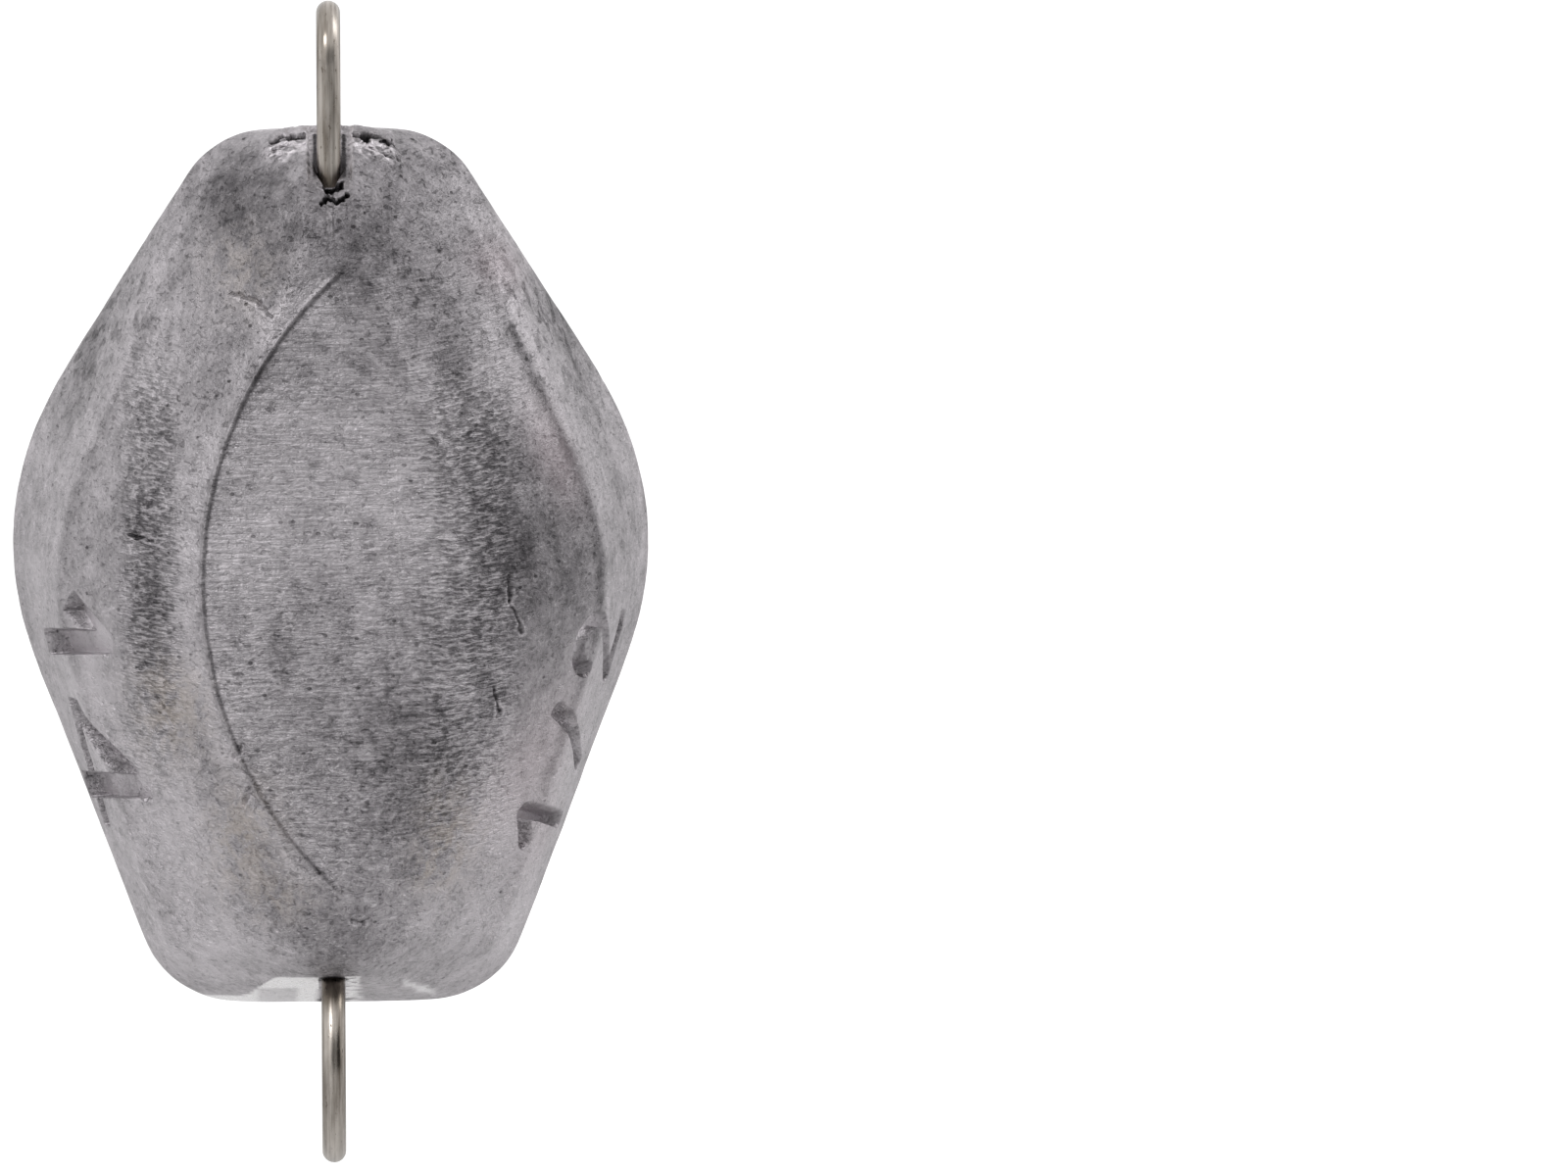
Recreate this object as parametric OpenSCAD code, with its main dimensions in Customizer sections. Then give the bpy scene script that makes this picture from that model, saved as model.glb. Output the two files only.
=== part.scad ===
// Cast lead fishing sinker on a bent steel wire.
// Origin: the top of the gap inside the line eye. +Z is up along the legs of the line eye.
// The flat front face looks towards -Y and the ridged back towards +Y. Lengths are in mm.

/* [Lead body] */
// Width across the belly, seen from the front
body_w = 14.4; // [13:0.1:16]
// Thickness from the flat front face to the ridge of the back
body_t = 8.85; // [8.4:0.05:10]
// Height of the top above the belly line
top_h = 9.5; // [8.8:0.1:11]
// Depth of the foot below the belly line, at the front face
foot_h = 9.1; // [8.6:0.1:10.5]
// Width across the rounds at the top
top_w = 7.05; // [6.2:0.05:8.5]
// Width across the rounds at the foot
foot_w = 8.8; // [7.5:0.1:10]
// Corner rounds of the outline, seen from the front
corner_r = 2.2; // [1.5:0.1:2.6]
// Lean of the front face away from the legs of the line eye, in degrees
face_lean = 8.25; // [5:0.25:11]

/* [Front face] */
// Width of the flat, lens-shaped front face
face_w = 5.8; // [4:0.1:7.5]
// Width of the bevels halfway back to the rim
bevel_w = 9.6; // [8.4:0.1:10.4]
// Distance of that line behind the front face
bevel_t = 1.35; // [0.8:0.05:1.9]
// Width across the rim, where the front bevels meet the sides
rim_w = 12.3; // [11.2:0.1:12.8]
// Distance of the rim behind the front face, at the belly line
rim_t = 3.3; // [2.4:0.1:4]

/* [Side profile] */
// Round between the front face and the top
brow_r = 3.3; // [2.4:0.1:3.4]
// Round between the top and the back
crown_r = 1.55; // [1:0.05:2]
// Round at the front of the foot
toe_r = 2.2; // [1.4:0.1:2.6]
// Distance of the edge of the heel behind the front face
heel_t = 5.65; // [5:0.05:6]
// Slope of the bevel at the heel, in degrees
heel_slope = 36; // [30:1:42]
// Round between the bevel at the heel and the back
heel_r = 1.8; // [1.2:0.1:2.4]
// Round of the ridge of the back
ridge_r = 9.5; // [8:0.1:12]
// Lean of the upper back, in degrees
upper_lean = 30; // [26:0.5:33]
// Lean of the lower back, in degrees
lower_lean = 12.3; // [9:0.1:15]
// Slope of the foot, in degrees
foot_slope = 12; // [8:0.5:15]

/* [Wire] */
// Diameter of the wire
wire_d = 0.54; // [0.4:0.02:0.7]
// Width of the gap in the line eye
eye_gap = 1.41; // [1.2:0.01:1.7]
// Height of the gap in the line eye above the top of the lead
eye_h = 2.5; // [2:0.1:4]
// Distance of the middle of the line eye behind the front face, at the top
eye_in = 2.17; // [1.9:0.01:2.4]
// Inner diameter of the hook ring
ring_d = 3.86; // [3.2:0.02:4.4]
// Distance of the ring's centre behind the front face
ring_in = 3.26; // [2.8:0.02:3.6]
// Distance of the ring's centre below the foot
ring_drop = 1.45; // [1.2:0.05:1.7]
// Clearance that the casting leaves all round the wire
cast_gap = 0.02; // [0.01:0.01:0.05]
// Clearance of the open slot around the front leg
slot_gap = 0.24; // [0.1:0.02:0.4]
// Depth of the open slot below the top of the lead
slot_l = 1.25; // [0.8:0.05:1.6]

/* [Weight marks] */
// Height of the fraction on the right side
fraction_h = 2.5; // [1.8:0.1:2.7]
// Stroke width of the fraction
fraction_stroke = 0.46; // [0.3:0.02:0.6]
// Height of the number on the left side
number_h = 2.6; // [2:0.1:2.8]
// Stroke width of the number
number_stroke = 0.58; // [0.36:0.02:0.7]
// Depth of the fraction at the foot of its digits
fraction_depth = 0.42; // [0.2:0.02:0.5]
// Depth of the number at the foot of its digits
number_depth = 0.56; // [0.3:0.02:0.6]

/* [Hidden] */

// Thickness of the thin plates that span the body
plate_t = 0.02;
// Overrun of every cut
over = 0.5;
round_fn = 32;
belly_fn = 40;

wire_r = wire_d / 2;

// Side profile, in (distance behind the front face, height above the belly line).
// A flat side is a pair: the angle of its outward normal, and its distance from the belly point.
ridge_drop = 0.93;
ridge_c = [body_t - ridge_r, -ridge_drop];
function normal(angle) = [cos(angle), sin(angle)];
function tangent_side(angle, centre, r) = [angle, centre * normal(angle) + r];
front_side = [180, 0];
top_side = [90, top_h];
upper_side = tangent_side(upper_lean, ridge_c, ridge_r);
lower_side = tangent_side(-lower_lean, ridge_c, ridge_r);
foot_side = [-90 - foot_slope, foot_h * cos(foot_slope)];
heel_edge = [heel_t, -foot_h - heel_t * tan(foot_slope)];
heel_side = [heel_slope - 90, heel_edge * normal(heel_slope - 90)];

// Centre of a round of radius r between two flat sides
function round_centre(a, b, r) =
    let (na = normal(a[0]), nb = normal(b[0]), da = a[1] - r, db = b[1] - r,
         det = na[0] * nb[1] - na[1] * nb[0])
    [(da * nb[1] - db * na[1]) / det, (na[0] * db - nb[0] * da) / det];

function arc(centre, r, from, to, steps) =
    [for (i = [0:steps]) centre + r * normal(from + (to - from) * i / steps)];

function corner(a, b, r, steps) =
    arc(round_centre(a, b, r), r, a[0], a[0] + (b[0] - a[0] + 720) % 360, steps);

profile_points = concat(
    arc(ridge_c, ridge_r, -lower_lean, upper_lean, 12),
    corner(upper_side, top_side, crown_r, 6),
    corner(top_side, front_side, brow_r, 12),
    corner(front_side, foot_side, toe_r, 8),
    [heel_edge],
    corner(heel_side, lower_side, heel_r, 6));

brow_c = round_centre(top_side, front_side, brow_r);
toe_c = round_centre(front_side, foot_side, toe_r);

// Half width of the strip along the ridge, the brow and the toe
ridge_half = 0.6;

// The flat front face lies between the ends of the brow and toe rounds
face_h = brow_c[1] - toe_c[1];

// Corners of the bevels and of the rim, inside the corners of the outline
bevel_top_in = 1.75;
bevel_foot_in = 2.2;
bevel_top_drop = 0.95;
bevel_foot_rise = 0.1;
bevel_corner_r = 1.3;
rim_top_in = 0.65;
rim_foot_in = 0.5;
rim_top_drop = 0.5;
rim_foot_drop = 0.3;
rim_corner_r = 1.4;
rim_low = 0.73;
rim_lean = 3.5;

// Widest line of the sides
side_t = 6.7;
side_lean = 8;
side_top_t = 3.4;
foot_low = -heel_edge[1];

// Shoulders, where the sides turn into the back
shoulder_in = 1.55;
shoulder_t = 8.25;
shoulder_lean = 12;
shoulder_corner_r = 1.75;
shoulder_corner_in = 0.75;
shoulder_top_t = 4.3;
shoulder_foot_t = 6.6;

// Angles over which the belly's round shows, from the belly line up and down
belly_up = 37;
belly_down = 25;

// Place of the body: its belly point, in (Y, Z)
face_y = -eye_in * cos(face_lean) - top_h * sin(face_lean);
face_z = -eye_h - top_h * cos(face_lean) + brow_c[0] * sin(face_lean);
function from_face(p) = [face_y + p[0] * cos(face_lean) + p[1] * sin(face_lean),
                         face_z - p[0] * sin(face_lean) + p[1] * cos(face_lean)];

// Wire, in the plane X = 0, in (Y, Z). The ring's centre is rounded to a small step, so that the
// straight pieces and the bends meet exactly.
step_t = 0.001;
function stepped(p) = [for (v = p) round(v / step_t) * step_t];
eye_r = (eye_gap + wire_d) / 2;
ring_r = (ring_d + wire_d) / 2;
eye_c = stepped([0, -eye_gap / 2]);
ring_c = stepped(from_face([ring_in, -foot_h - ring_in * tan(foot_slope) - ring_drop]));
leg_entry = 0.9;
front_leg_l = 5;
ring_end_angle = 98;

// Inside the lead, a slightly thinner length joins the rear leg to the stub above the ring
ring_stub_l = 1.7;
hidden_share = 0.94;
hidden_overlap = 0.25;

// Cut stub of the pouring sprue, on the brow between the legs
sprue_from = 119;
sprue_to = 100;
sprue_l = 2.7;
sprue_tip_l = 1.2;
sprue_root = 0.15;
sprue_edge = [0.03, 0.12, 0.08, 0.15, 0.1];
sprue_tip_edge = [0.03, 0.14, 0.2, 0.17, 0.33];

// Side of the body below the belly: lean of its outline and its draft
foot_c = [foot_w / 2 - corner_r, corner_r - foot_low];
waist_lean = atan2(-foot_c[1], foot_c[0]) - acos((body_w / 2 - corner_r) / norm(foot_c));
side_draft = atan((body_w - rim_w) / 2 / (side_t - rim_t));

// Weight marks: their feet lie this far behind the front face
mark_foot_t = 5.5;
mark_lean = waist_lean - 2;
fraction_low = 6.7;
fraction_draft = 10;
number_low = 1.1;
number_draft = 21;

// Strokes of the marks, in shares of the height of their digits
fraction_strokes_share = [[[0.1, 0], [0.32, 1]], [[0.32, 1], [0, 0.8]], [[0.64, 0], [1.26, 1]],
                          [[1.995, 0.606], [1.4, 0]], [[1.4, 0], [2.04, 0.03]]];
curl_c_share = [1.81, 0.76];
curl_r_share = 0.24;
curl_from = 200;
curl_to = -40;
number_strokes_share = [[[0.36, 0], [0.36, 1]], [[0.36, 1], [0, 0.72]], [[1.65, 0], [1.65, 1]],
                        [[0.95, 0.3], [1.95, 0.3]], [[1.65, 1], [0.95, 0.3]]];

module plate(depth, lean) {
    translate([0, depth, 0]) rotate([90 + lean, 0, 0]) linear_extrude(plate_t) children();
}

module both_sides() {
    children();
    mirror([1, 0, 0]) children();
}

module round_at(x, z, r) {
    translate([x, z]) circle(r, $fn = round_fn);
}

module side_arc(r, from, to) {
    both_sides() polygon(concat([[0, 0]], arc([0, 0], r, from, to, 10)));
}

// Two circles that overlap in a lens of the width and height of the flat front face
module face_outline() {
    lens_r = (pow(face_h, 2) + pow(face_w, 2)) / face_w / 4;
    lens_x = lens_r - face_w / 2;
    lens_z = (brow_c[1] + toe_c[1]) / 2;
    intersection() {
        translate([-lens_x, lens_z]) circle(lens_r, $fn = 4 * belly_fn);
        translate([lens_x, lens_z]) circle(lens_r, $fn = 4 * belly_fn);
    }
}

module ring_outline(w, corner_round, top_in, top_z, foot_in, foot_z) {
    translate([0, -rim_low]) circle(w / 2, $fn = belly_fn);
    both_sides() {
        round_at(top_w / 2 - top_in - corner_round, top_z - corner_round, corner_round);
        round_at(foot_w / 2 - foot_in - corner_round, foot_z + corner_round, corner_round);
    }
}

module top_corners(in, r) {
    both_sides() round_at(top_w / 2 - in - r, top_h - in - r, r);
}

module foot_corners(in, r) {
    both_sides() round_at(foot_w / 2 - in - r, in + r - foot_low, r);
}

// Everything that spans the smooth body, in the frame of the front face
module body_frame() {
    plate(plate_t, 0) face_outline();
    plate(bevel_t, 0)
        ring_outline(bevel_w, bevel_corner_r, bevel_top_in, top_h - bevel_top_drop,
                     bevel_foot_in, bevel_foot_rise - foot_h);
    plate(rim_t, rim_lean)
        ring_outline(rim_w, rim_corner_r, rim_top_in, top_h - rim_top_drop,
                     rim_foot_in, -rim_foot_drop - foot_h);
    plate(side_t, side_lean) side_arc(body_w / 2, -belly_down, belly_up);
    plate(side_top_t, 0) top_corners(0, corner_r);
    plate(heel_t, 0) foot_corners(0, corner_r);
    plate(shoulder_t, shoulder_lean) side_arc(body_w / 2 - shoulder_in, 0, belly_up);
    plate(shoulder_t, 0) side_arc(body_w / 2 - shoulder_in, -belly_down, 0);
    plate(shoulder_top_t, 0) top_corners(shoulder_corner_in, shoulder_corner_r);
    plate(shoulder_foot_t, 0) foot_corners(shoulder_corner_in, shoulder_corner_r);
    translate([-ridge_half, 0, 0]) rotate([90, 0, 90])
        linear_extrude(2 * ridge_half) polygon(profile_points);
}

// Jagged strip that stands on the brow, between two angles, across the body
module sprue_strip(l, edge) {
    steps = len(edge) - 1;
    step = (sprue_to - sprue_from) / steps;
    top = [for (i = [0:steps]) brow_c + (brow_r + edge[i]) * normal(sprue_from + i * step)];
    root = arc(brow_c, brow_r - sprue_root, sprue_to, sprue_from, steps);
    translate([-l / 2, 0, 0]) rotate([90, 0, 90]) linear_extrude(l) polygon(concat(top, root));
}

// A straight piece of wire of radius r between two points
module straight(a, b, r) {
    run = b - a;
    translate([0, a[0], a[1]]) rotate([-atan2(run[0], run[1]), 0, 0])
        cylinder(r = r, h = norm(run), $fn = round_fn);
}

// A bend of wire of radius r about a centre, between two angles, seen from +X
module bend(centre, bend_r, from, to, r) {
    translate([0, centre[0], centre[1]]) rotate([90, 0, 90]) rotate([0, 0, from])
        rotate_extrude(angle = to - from, $fn = 3 * round_fn)
        translate([bend_r, 0]) circle(r, $fn = round_fn);
}

// The bent wire: front leg, line eye, rear leg through the body, and the hook ring, whose end is
// cast into the foot. A gap above 0 gives the passage that the casting leaves round it.
module wire_path(gap) {
    r = wire_r + gap;
    rear_top = [eye_r, -eye_h - leg_entry];
    rear_foot = ring_c + [ring_r, ring_stub_l];
    overlap = [0, hidden_overlap];
    straight([-eye_r, -eye_h - front_leg_l - gap], [-eye_r, eye_c[1]], r);
    bend(eye_c, eye_r, 0, 180, r);
    straight([eye_r, eye_c[1]], rear_top, r);
    straight(rear_top + overlap, rear_foot - overlap, r * hidden_share);
    straight(rear_foot, ring_c + [ring_r, 0], r);
    bend(ring_c, ring_r, ring_end_angle - 360 - gap / ring_r * 180 / PI, 0, r);
}

module front_slot() {
    translate([0, -eye_r, -eye_h - slot_l])
        cylinder(r = wire_r + slot_gap, h = slot_l + over, $fn = round_fn);
}

// Strokes are drawn flat: reading along x, with the feet of the digits at y = 0
module stroke(a, b, w) {
    run = b - a;
    translate(a) circle(w / 2, $fn = round_fn);
    translate(b) circle(w / 2, $fn = round_fn);
    translate(a) rotate(atan2(run[1], run[0])) translate([0, -w / 2]) square([norm(run), w]);
}

module strokes(shares, h, w) {
    for (s = shares) stroke(s[0] * h, s[1] * h, w);
}

module curl(centre, r, from, to, w) {
    polygon(concat(arc(centre, r + w / 2, from, to, 12), arc(centre, r - w / 2, to, from, 12)));
    for (end = [from, to]) translate(centre + r * normal(end)) circle(w / 2, $fn = round_fn);
}

module fraction_marks() {
    strokes(fraction_strokes_share, fraction_h, fraction_stroke);
    curl(curl_c_share * fraction_h, curl_r_share * fraction_h, curl_from, curl_to, fraction_stroke);
}

module number_marks() {
    strokes(number_strokes_share, number_h, number_stroke);
}

// Puts a flat drawing into one side of the body, with its floor under the surface.
// hand is 1 on the right side, where it reads upwards, and -1 on the left side.
module cut_into_side(hand, low, draft, depth) {
    outline_x = (body_w / 2 - low * sin(waist_lean)) / cos(waist_lean);
    floor_x = outline_x - (side_t - mark_foot_t) * tan(side_draft) - depth;
    translate([hand * floor_x, mark_foot_t, -low]) rotate([0, hand * mark_lean, -hand * draft])
        rotate([180, -hand * 90, 0]) linear_extrude(depth + over) children();
}

module body_place() {
    translate([0, face_y, face_z]) rotate([-face_lean, 0, 0]) children();
}

module lead_body() {
    color([0.58, 0.57, 0.58]) difference() {
        body_place() {
            hull() body_frame();
            sprue_strip(sprue_l, sprue_edge);
            sprue_strip(sprue_tip_l, sprue_tip_edge);
        }
        body_place() {
            cut_into_side(1, fraction_low, fraction_draft, fraction_depth) fraction_marks();
            cut_into_side(-1, number_low, number_draft, number_depth) number_marks();
        }
        wire_path(cast_gap);
        front_slot();
    }
}

module wire_form() {
    color([0.5, 0.47, 0.43]) wire_path(0);
}

lead_body();
wire_form();
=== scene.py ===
import math

import bmesh
import bpy
import numpy as np
from mathutils import Matrix, Vector

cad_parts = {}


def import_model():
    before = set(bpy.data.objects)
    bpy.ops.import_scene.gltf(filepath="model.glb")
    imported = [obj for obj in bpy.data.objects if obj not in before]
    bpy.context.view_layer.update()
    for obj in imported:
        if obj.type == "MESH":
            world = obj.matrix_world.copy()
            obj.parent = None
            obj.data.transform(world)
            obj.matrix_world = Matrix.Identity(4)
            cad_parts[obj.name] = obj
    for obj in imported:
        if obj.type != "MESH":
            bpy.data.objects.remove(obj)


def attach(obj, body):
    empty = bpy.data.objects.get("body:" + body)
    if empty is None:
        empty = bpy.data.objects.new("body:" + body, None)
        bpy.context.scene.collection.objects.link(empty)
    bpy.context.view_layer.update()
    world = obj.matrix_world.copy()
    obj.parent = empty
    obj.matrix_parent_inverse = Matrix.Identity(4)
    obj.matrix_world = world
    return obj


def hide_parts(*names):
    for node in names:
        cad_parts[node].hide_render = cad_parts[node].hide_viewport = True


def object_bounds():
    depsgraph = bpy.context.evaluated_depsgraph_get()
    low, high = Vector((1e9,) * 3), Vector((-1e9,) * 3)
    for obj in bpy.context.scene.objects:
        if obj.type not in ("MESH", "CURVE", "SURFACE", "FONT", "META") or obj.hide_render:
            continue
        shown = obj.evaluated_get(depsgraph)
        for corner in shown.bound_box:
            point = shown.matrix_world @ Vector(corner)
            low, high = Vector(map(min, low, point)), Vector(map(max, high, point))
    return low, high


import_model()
cad_low, cad_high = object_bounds()

MM = 0.001

# Angle of the camera above the level of the object
ELEVATION = math.radians(12)

# Lead body, in mm. A place on it is (x, d, h): across, behind the front face, above the belly line.
BODY_W = 14.4
BODY_T = 8.85
TOP_H = 9.5
FOOT_H = 9.1
TOP_W = 7.05
FOOT_W = 8.8
CORNER_R = 2.2
FACE_LEAN = math.radians(8.25)
FACE_W = 5.8
BEVEL_W = 9.6
BEVEL_T = 1.35
RIM_W = 12.3
RIM_T = 3.3
BROW_R = 3.3
CROWN_R = 1.55
TOE_R = 2.2
HEEL_T = 5.65
HEEL_SLOPE = 36
HEEL_R = 1.8
RIDGE_R = 9.5
RIDGE_DROP = 0.93
RIDGE_HALF = 0.6
UPPER_LEAN = 30
LOWER_LEAN = 12.3
FOOT_SLOPE = 12
SIDE_T = 6.7
SIDE_LEAN = math.radians(8)
SIDE_TOP_T = 3.4
SHOULDER_T = 8.25
SHOULDER_IN = 1.55
SHOULDER_LEAN = math.radians(12)
SHOULDER_TOP_T = 4.3
SHOULDER_FOOT_T = 6.6
SHOULDER_CORNER_R = 1.75
SHOULDER_CORNER_IN = 0.75
RIM_LOW = 0.73
RIM_LEAN = math.radians(3.5)
BELLY_UP = 37
BELLY_DOWN = 25

# Wire, in mm, in the plane x = 0 of the row frame
WIRE_R = 0.27
EYE_GAP = 1.41
EYE_H = 2.5
EYE_IN = 2.17
RING_IN_R = 1.93
RING_IN = 3.26
RING_DROP = 1.45
EYE_R = EYE_GAP / 2 + WIRE_R
RING_R = RING_IN_R + WIRE_R

# Mesh of the body: cells along each face of the cube that is blown up to it, and cuts of a fine cell
GRID = 76
FINE_CUTS = 7
# Bend between the corners of a cell, above which it lies on a crease
CREASE_BEND = 0.11
# Softness of the body's edges, in mm, and the share of it that is given back all over
EDGE_SOFT = 0.028
EDGE_FILL = 1.6


def normal(angle):
    return np.array([math.cos(math.radians(angle)), math.sin(math.radians(angle))])


def tangent_side(angle, centre, r):
    return angle, float(np.dot(centre, normal(angle)) + r)


def round_centre(a, b, r):
    """Centre of a round of radius r between two flat sides, each an angle and a distance."""
    return np.linalg.solve(np.array([normal(a[0]), normal(b[0])]), np.array([a[1] - r, b[1] - r]))


def arc(centre, r, start, end, steps):
    return [np.asarray(centre) + r * normal(start + (end - start) * i / steps) for i in range(steps + 1)]


def corner(a, b, r, steps):
    return arc(round_centre(a, b, r), r, a[0], a[0] + (b[0] - a[0]) % 360, steps)


ridge_c = np.array([BODY_T - RIDGE_R, -RIDGE_DROP])
front_side = (180, 0)
top_side = (90, TOP_H)
upper_side = tangent_side(UPPER_LEAN, ridge_c, RIDGE_R)
lower_side = tangent_side(-LOWER_LEAN, ridge_c, RIDGE_R)
foot_side = (-90 - FOOT_SLOPE, FOOT_H * math.cos(math.radians(FOOT_SLOPE)))
heel_edge = np.array([HEEL_T, -FOOT_H - HEEL_T * math.tan(math.radians(FOOT_SLOPE))])
heel_side = (HEEL_SLOPE - 90, float(np.dot(heel_edge, normal(HEEL_SLOPE - 90))))
brow_c = round_centre(top_side, front_side, BROW_R)
toe_c = round_centre(front_side, foot_side, TOE_R)
profile = (
    arc(ridge_c, RIDGE_R, -LOWER_LEAN, UPPER_LEAN, 30)
    + corner(upper_side, top_side, CROWN_R, 10)
    + corner(top_side, front_side, BROW_R, 24)
    + corner(front_side, foot_side, TOE_R, 16)
    + [heel_edge]
    + corner(heel_side, lower_side, HEEL_R, 10)
)

FACE_Y = -EYE_IN * math.cos(FACE_LEAN) - TOP_H * math.sin(FACE_LEAN)
FACE_Z = -EYE_H - TOP_H * math.cos(FACE_LEAN) + brow_c[0] * math.sin(FACE_LEAN)
TO_ROW = np.array(
    [
        [1, 0, 0],
        [0, math.cos(FACE_LEAN), math.sin(FACE_LEAN)],
        [0, -math.sin(FACE_LEAN), math.cos(FACE_LEAN)],
    ]
)
FACE_AT = np.array([0, FACE_Y, FACE_Z])


def to_row(p):
    """Places on the body, in mm, as places in the row frame, in metres."""
    return (np.asarray(p, float) @ TO_ROW.T + FACE_AT) * MM


ring_c = to_row([0, RING_IN, -FOOT_H - RING_IN * math.tan(math.radians(FOOT_SLOPE)) - RING_DROP])[1:] / MM


def plate(points, depth, lean=0.0):
    """Flat (across, up) points as places on the body, on a plate that may lean."""
    p = np.asarray(points, float)
    return np.column_stack([p[:, 0], depth - p[:, 1] * math.sin(lean), p[:, 1] * math.cos(lean)])


def mirrored(points):
    p = np.asarray(points, float)
    return np.vstack([p, p * [-1, 1]])


def rim_points(width, top_in, top_z, foot_in, foot_z, r):
    """Outline of the bevel or the rim: the belly circle, and a round in each corner."""
    top = arc([TOP_W / 2 - top_in - r, top_z - r], r, -20, 110, 12)
    foot = arc([FOOT_W / 2 - foot_in - r, foot_z + r], r, -110, 20, 12)
    belly = arc([0, -RIM_LOW], width / 2, -60, 60, 40)
    return mirrored(top + foot + belly)


def body_points():
    lens_r, lens_h = lens_size()
    lens = arc([FACE_W / 2 - lens_r, lens_h], lens_r, -60, 60, 80)
    lens = [p for p in lens if p[0] >= 0]
    corner_top = arc([TOP_W / 2 - CORNER_R, TOP_H - CORNER_R], CORNER_R, -10, 90, 14)
    corner_foot = arc([FOOT_W / 2 - CORNER_R, CORNER_R + heel_edge[1]], CORNER_R, -90, 10, 14)
    back_r = SHOULDER_CORNER_R
    back_top = [TOP_W / 2 - SHOULDER_CORNER_IN - back_r, TOP_H - SHOULDER_CORNER_IN - back_r]
    back_foot = [FOOT_W / 2 - SHOULDER_CORNER_IN - back_r, SHOULDER_CORNER_IN + back_r + heel_edge[1]]
    shoulder_r = BODY_W / 2 - SHOULDER_IN
    parts = [
        plate(mirrored(lens), 0),
        plate(rim_points(BEVEL_W, 1.75, TOP_H - 0.95, 2.2, 0.1 - FOOT_H, 1.3), BEVEL_T),
        plate(rim_outline(), RIM_T, RIM_LEAN),
        plate(mirrored(arc([0, 0], BODY_W / 2, -BELLY_DOWN, BELLY_UP, 30)), SIDE_T, SIDE_LEAN),
        plate(mirrored(corner_top), SIDE_TOP_T),
        plate(mirrored(corner_foot), HEEL_T),
        plate(mirrored(arc([0, 0], shoulder_r, 0, BELLY_UP, 20)), SHOULDER_T, SHOULDER_LEAN),
        plate(mirrored(arc([0, 0], shoulder_r, -BELLY_DOWN, 0, 14)), SHOULDER_T),
        plate(mirrored(arc(back_top, back_r, -10, 90, 10)), SHOULDER_TOP_T),
        plate(mirrored(arc(back_foot, back_r, -90, 10, 10)), SHOULDER_FOOT_T),
    ]
    for side in (-RIDGE_HALF, RIDGE_HALF):
        parts.append(np.array([[side, p[0], p[1]] for p in profile]))
    return np.vstack(parts)


def rim_outline():
    return rim_points(RIM_W, 0.65, TOP_H - 0.5, 0.5, -0.3 - FOOT_H, 1.4)


def lens_size():
    """Radius of the two circles that bound the flat front face, and the height of its middle."""
    face_h = brow_c[1] - toe_c[1]
    return (face_h**2 + FACE_W**2) / FACE_W / 4, (brow_c[1] + toe_c[1]) / 2


def hull_planes(points, centre):
    """Normals and distances of the faces of the convex hull, seen from a centre inside it."""
    bm = bmesh.new()
    for p in points - centre:
        bm.verts.new(p)
    bmesh.ops.convex_hull(bm, input=bm.verts)
    bm.normal_update()
    faces = [f for f in bm.faces if f.calc_area() > 1e-7]
    normals = np.array([f.normal * (1 if f.normal.dot(f.verts[0].co) > 0 else -1) for f in faces])
    bm.free()
    return normals, (normals @ (points - centre).T).max(1)


def cube_grid(n):
    """Directions and quads of a cube whose faces are n by n grids, blown up to a ball."""
    a, b = np.meshgrid(np.arange(n + 1), np.arange(n + 1), indexing="ij")
    lattice, quads = [], []
    for axis in range(3):
        for end in (0, n):
            p = np.zeros(a.shape + (3,), int)
            p[..., axis] = end
            p[..., (axis + 1) % 3] = a
            p[..., (axis + 2) % 3] = b
            base = len(lattice) * (n + 1) ** 2
            i = (np.arange(n)[:, None] * (n + 1) + np.arange(n)[None, :]).ravel() + base
            q = np.column_stack([i, i + n + 1, i + n + 2, i + 1])
            lattice.append(p.reshape(-1, 3))
            quads.append(q if end else q[:, ::-1])
    lattice = np.vstack(lattice)
    key = lattice @ np.array([1, n + 1, (n + 1) ** 2])
    _, first, back = np.unique(key, return_index=True, return_inverse=True)
    co = np.tan((lattice[first] / n * 2 - 1) * math.pi / 4)
    return co, back.ravel()[np.vstack(quads)]


def value_noise(p, cell, seed):
    """Smooth noise from -1 to 1 at points p, with lumps of about the size of a cell."""
    table = np.random.RandomState(seed).uniform(-1, 1, (32, 32, 32))
    q = p / cell + 100
    i = np.floor(q).astype(int)
    f = q - i
    f = f * f * (3 - 2 * f)
    out = np.zeros(len(p))
    for dx in (0, 1):
        for dy in (0, 1):
            for dz in (0, 1):
                w = np.abs(1 - dx - f[:, 0]) * np.abs(1 - dy - f[:, 1]) * np.abs(1 - dz - f[:, 2])
                out += w * table[(i[:, 0] + dx) % 32, (i[:, 1] + dy) % 32, (i[:, 2] + dz) % 32]
    return out


def smoothstep(v, low, high):
    t = np.clip((v - low) / (high - low), 0, 1)
    return t * t * (3 - 2 * t)


def fade(v, low, high):
    """1 up to low, and 0 from high on."""
    return 1 - smoothstep(v, low, high)


def bell(v, width):
    """1 where v is 0, and dying away on both sides of it over the width."""
    return np.exp(-((v / width) ** 2))


def outline_distance(points, outline):
    """Distance of (across, up) points outside a convex outline, below 0 inside it."""
    o = np.asarray(outline)
    middle = o.mean(0)
    order = np.argsort(np.arctan2(o[:, 1] - middle[1], o[:, 0] - middle[0]))
    o = convex(o[order])
    edge = np.roll(o, -1, 0) - o
    n = np.column_stack([edge[:, 1], -edge[:, 0]])
    n /= np.linalg.norm(n, axis=1)[:, None]
    return (points @ n.T - (o * n).sum(1)).max(1)


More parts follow.
